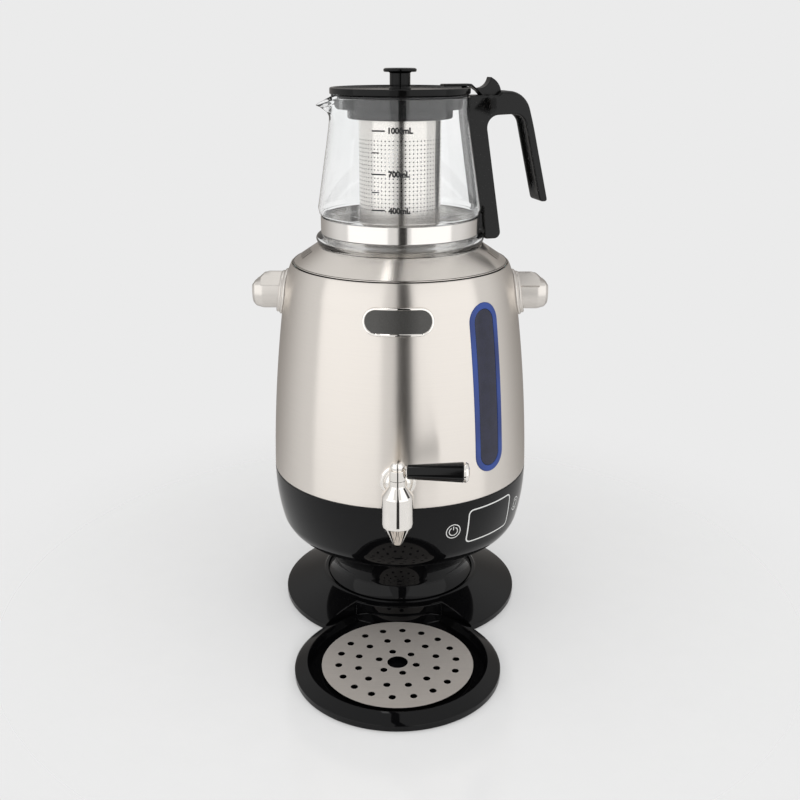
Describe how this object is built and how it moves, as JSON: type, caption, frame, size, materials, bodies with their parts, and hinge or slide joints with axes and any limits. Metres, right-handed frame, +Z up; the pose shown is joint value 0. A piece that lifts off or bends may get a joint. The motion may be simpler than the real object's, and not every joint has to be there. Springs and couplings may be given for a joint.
{
  "type": "electric samovar with glass teapot",
  "caption": "Electric samovar: steel barrel boiler on a black pedestal base, lever tap over a drip tray, lit level window, two stub handles, glass teapot with strainer on top.",
  "frame": {"origin": "on the boiler's vertical axis, at the underside of the centre rubber foot, level with the surface it stands on", "axes": "+Z up; -Y is the front with the tap and drip tray; +X is the side of the tap's lever; the teapot's handle is on that side too, turned 17 degrees towards the back"},
  "size_m": [0.2402, 0.321, 0.445],
  "materials": {
    "black_gloss": "glossy moulded plastic",
    "black_satin": "satin moulded plastic",
    "black_lever": "glossy moulded plastic",
    "lid_black": "half-gloss moulded plastic",
    "rubber": "matte",
    "silicone": "matte, translucent white",
    "screw_steel": "zinc plated",
    "aluminium": "cast",
    "plain_steel": "drawn stainless steel",
    "brushed_barrel": "stainless steel, brushed around the barrel",
    "brushed_cover": "stainless steel, fine brushed",
    "band_steel": "polished stainless steel",
    "basket_steel": "thin stainless steel, perforated",
    "grille_steel": "pressed stainless steel, satin",
    "satin_metal": "satin silver",
    "chrome": "polished",
    "brass": "machined",
    "circuit_board": "printed circuit board",
    "component_black": "moulded",
    "blue_light_guide": "lit blue light guide",
    "navy_lens": "dark blue tinted lens",
    "badge_face": "dark grey metallic, bare",
    "clear_glass": "clear borosilicate glass",
    "smoke_plastic": "smoke grey translucent plastic"
  },
  "bodies": {
    "root": {"base_disc": "black_gloss", "base_plate": "black_satin", "rubber_feet": "rubber", "base_screws": "screw_steel", "neck_ring": "black_gloss", "neck_screws": "screw_steel", "lower_bowl": "black_gloss", "power_inlet": "black_satin", "tank_posts": "aluminium", "power_board": "circuit_board", "power_board_parts": "component_black", "board_screws": "screw_steel", "display_board": "circuit_board", "display_module": "component_black", "water_tank": "plain_steel", "heater_plate": "aluminium", "heating_element": "plain_steel", "thermostats": "component_black", "thermal_fuse": "component_black", "temperature_sensor": "plain_steel", "outer_shell": "brushed_barrel", "seam_gasket": "rubber", "window_ring": "blue_light_guide", "window_lens": "navy_lens", "window_gasket": "rubber", "led_strip": "circuit_board", "badge_rim": "chrome", "badge_plate": "badge_face", "left_lug": "satin_metal", "left_lug_collar": "satin_metal", "right_lug": "satin_metal", "right_lug_collar": "satin_metal", "lug_bolts": "screw_steel", "tap_rosette": "chrome", "tap_stem": "chrome", "tap_washer": "silicone", "tap_nut": "brass", "tap_body": "chrome"},
    "tap_lever": {"tap_key": "chrome", "lever_rod": "chrome", "lever_grip": "black_lever", "lever_end_cap": "chrome"},
    "top_cover": {"top_cover": "brushed_cover", "cover_gasket": "silicone"},
    "teapot": {"teapot_glass": "clear_glass", "teapot_band": "band_steel", "teapot_handle": "black_satin", "hinge_pin": "black_satin", "handle_strap": "black_satin", "handle_bracket": "black_satin", "handle_screw": "screw_steel", "strainer_collar": "smoke_plastic", "strainer_basket": "basket_steel"},
    "teapot_lid": {"lid_disc": "lid_black", "lid_knob": "black_gloss", "lid_knob_screw": "screw_steel", "lid_lever": "black_satin"},
    "drip_tray": {"drip_tray": "black_gloss", "tray_pads": "rubber"},
    "drip_grille": {"drip_grille": "grille_steel"}
  },
  "joints": [
    {"name": "cover_lift", "type": "slide", "parent": "root", "child": "top_cover", "axis": [0, 0, 1], "range_m": [0, 0.12]},
    {"name": "teapot_lift", "type": "slide", "parent": "top_cover", "child": "teapot", "axis": [0, 0, 1], "range_m": [0, 0.12]},
    {"name": "lid_hinge", "type": "hinge", "parent": "teapot", "child": "teapot_lid", "pos_m": [0.0679, 0.02076, 0.4222], "axis": [-0.2924, 0.9563, 0], "range_deg": [0, 70]},
    {"name": "tap_turn", "type": "hinge", "parent": "root", "child": "tap_lever", "pos_m": [0, -0.1335, 0.16], "axis": [0, 0, 1], "range_deg": [-90, 0]},
    {"name": "tray_slide", "type": "slide", "parent": "root", "child": "drip_tray", "axis": [0, -1, 0], "range_m": [0, 0.09]},
    {"name": "grille_lift", "type": "slide", "parent": "drip_tray", "child": "drip_grille", "axis": [0, 0, 1], "range_m": [0, 0.03]}
  ]
}
